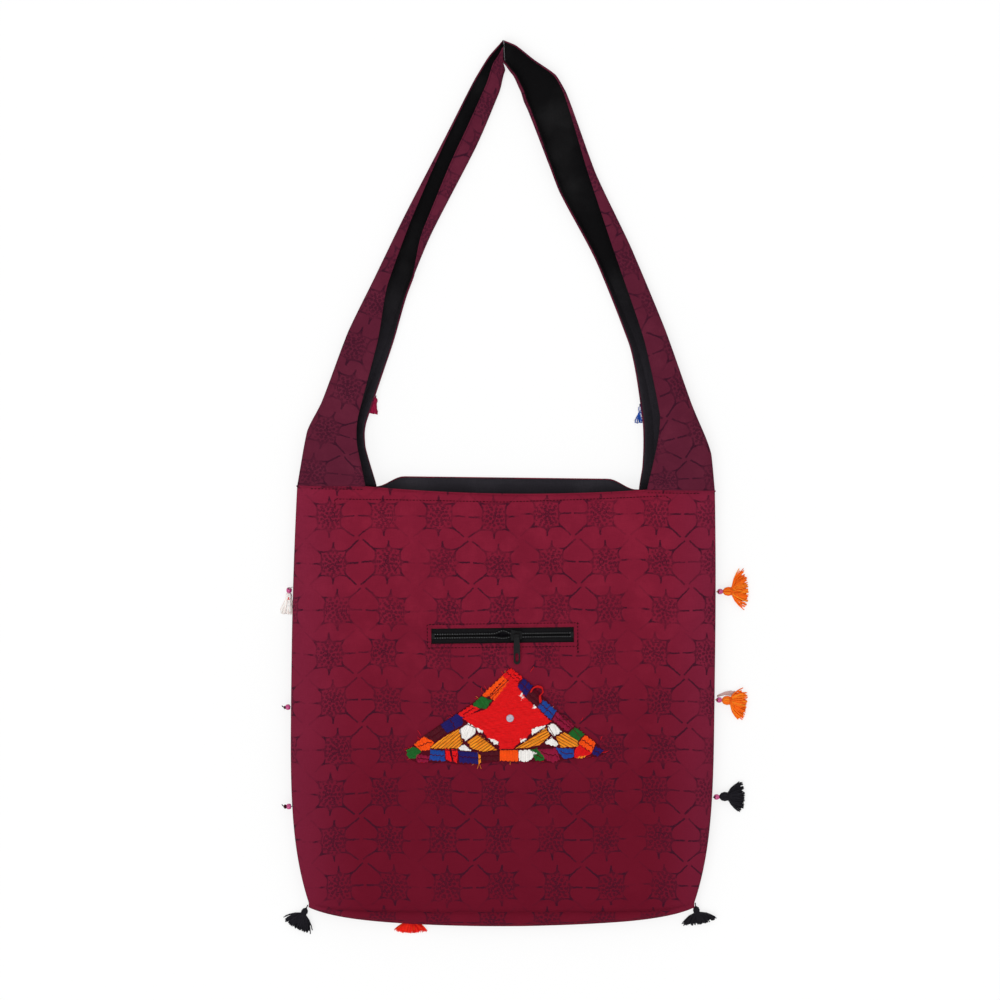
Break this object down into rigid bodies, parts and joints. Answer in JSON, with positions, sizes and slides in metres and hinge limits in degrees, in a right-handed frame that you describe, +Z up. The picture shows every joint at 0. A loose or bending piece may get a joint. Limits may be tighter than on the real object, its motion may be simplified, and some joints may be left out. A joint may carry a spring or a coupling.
{
  "type": "shoulder bag",
  "caption": "Flat cloth shoulder bag with a folded sling strap, a zipped back pocket, an embroidered patch and thread tassels.",
  "frame": {"origin": "on the underside of the bag as it lies, under the middle of the body", "axes": "+X across the bag to its right as seen from the zip side, +Y from the bottom to the top of the strap, +Z up from the surface that it lies on"},
  "size_m": [0.4025, 0.7792, 0.0334],
  "materials": {
    "maroon_cloth": "block-printed plain-weave cotton, matt",
    "lining_cloth": "charcoal plain-weave cotton lining",
    "pocket_cloth": "charcoal pocket cloth",
    "zip_fabric": "woven black zip tape",
    "zip_nylon": "black nylon coil",
    "zip_metal": "black enamelled zinc",
    "embroidery": "satin-stitched cotton threads in many colours",
    "mirror": "small foil mirror",
    "bead_glass": "magenta glass bead",
    "thread_orange": "orange cotton threads",
    "thread_cream": "cream cotton threads",
    "thread_black": "black cotton threads",
    "thread_red": "red cotton threads",
    "thread_magenta": "magenta cotton threads",
    "thread_blue": "blue and white cotton threads"
  },
  "bodies": {
    "bag": {"back_panel": "maroon_cloth", "front_panel": "maroon_cloth", "strap_left": "maroon_cloth", "strap_right": "maroon_cloth", "lining_back": "lining_cloth", "lining_front": "lining_cloth", "strap_left_lining": "lining_cloth", "strap_right_lining": "lining_cloth", "pocket_pouch": "pocket_cloth", "zip_tape_upper": "zip_fabric", "zip_tape_lower": "zip_fabric", "zip_coil_upper": "zip_nylon", "zip_coil_lower": "zip_nylon", "zip_stop_left": "zip_metal", "zip_stop_right": "zip_metal", "patch": "embroidery", "patch_mirror": "mirror", "thread_left_middle": "thread_black", "thread_left_lower": "thread_black", "thread_left_middle_bead": "bead_glass", "thread_left_lower_bead": "bead_glass"},
    "zip_slider": {"zip_slider": "zip_metal"},
    "zip_pull": {"zip_pull": "zip_metal"},
    "tassel_right_upper": {"tassel_right_upper": "thread_orange", "tassel_right_upper_bead": "bead_glass"},
    "tassel_right_middle": {"tassel_right_middle": "thread_orange", "tassel_right_middle_bead": "bead_glass"},
    "tassel_right_lower": {"tassel_right_lower": "thread_black", "tassel_right_lower_bead": "bead_glass"},
    "tassel_left_upper": {"tassel_left_upper": "thread_cream", "tassel_left_upper_bead": "bead_glass"},
    "tassel_corner_left": {"tassel_corner_left": "thread_black"},
    "tassel_corner_right": {"tassel_corner_right": "thread_black"},
    "tassel_bottom": {"tassel_bottom": "thread_red"},
    "tassel_strap_left": {"tassel_strap_left": "thread_magenta"},
    "tassel_strap_right": {"tassel_strap_right": "thread_blue"}
  },
  "joints": [
    {"name": "zip_slide", "type": "slide", "parent": "bag", "child": "zip_slider", "axis": [0.9999, 0.0122, 0], "range_m": [-0.0648, 0.0404]},
    {"name": "pull_swing", "type": "hinge", "parent": "zip_slider", "child": "zip_pull", "pos_m": [0.0101, 0.05395, 0.0316], "axis": [-0.9999, -0.0122, 0], "range_deg": [0, 165]},
    {"name": "swing_right_upper", "type": "hinge", "parent": "bag", "child": "tassel_right_upper", "pos_m": [0.18421, 0.0915, 0.0076], "axis": [0.0349, -0.9994, 0], "range_deg": [0, 85]},
    {"name": "swing_right_middle", "type": "hinge", "parent": "bag", "child": "tassel_right_middle", "pos_m": [0.18328, -0.0026, 0.0076], "axis": [-0.0698, -0.9976, 0], "range_deg": [0, 85]},
    {"name": "swing_right_lower", "type": "hinge", "parent": "bag", "child": "tassel_right_lower", "pos_m": [0.18129, -0.0875, 0.0076], "axis": [0.0349, -0.9994, 0], "range_deg": [0, 85]},
    {"name": "swing_left_upper", "type": "hinge", "parent": "bag", "child": "tassel_left_upper", "pos_m": [-0.18522, 0.0957, 0.007], "axis": [0, 0, -1], "range_deg": [0, 85]},
    {"name": "swing_corner_left", "type": "hinge", "parent": "bag", "child": "tassel_corner_left", "pos_m": [-0.17165, -0.1814, 0.0076], "axis": [-0.891, 0.454, 0], "range_deg": [0, 85]},
    {"name": "swing_corner_right", "type": "hinge", "parent": "bag", "child": "tassel_corner_right", "pos_m": [0.16565, -0.1794, 0.0076], "axis": [-0.9848, -0.1736, 0], "range_deg": [0, 85]},
    {"name": "swing_bottom", "type": "hinge", "parent": "bag", "child": "tassel_bottom", "pos_m": [-0.0815, -0.1896, 0.0023], "axis": [0, 0, 1], "range_deg": [-18, 18]},
    {"name": "swing_strap_left", "type": "hinge", "parent": "bag", "child": "tassel_strap_left", "pos_m": [-0.1124, 0.2625, 0.0036], "axis": [0, 0, 1], "range_deg": [0, 60]},
    {"name": "swing_strap_right", "type": "hinge", "parent": "bag", "child": "tassel_strap_right", "pos_m": [0.1176, 0.2552, 0.0036], "axis": [0, 0, -1], "range_deg": [0, 60]}
  ]
}
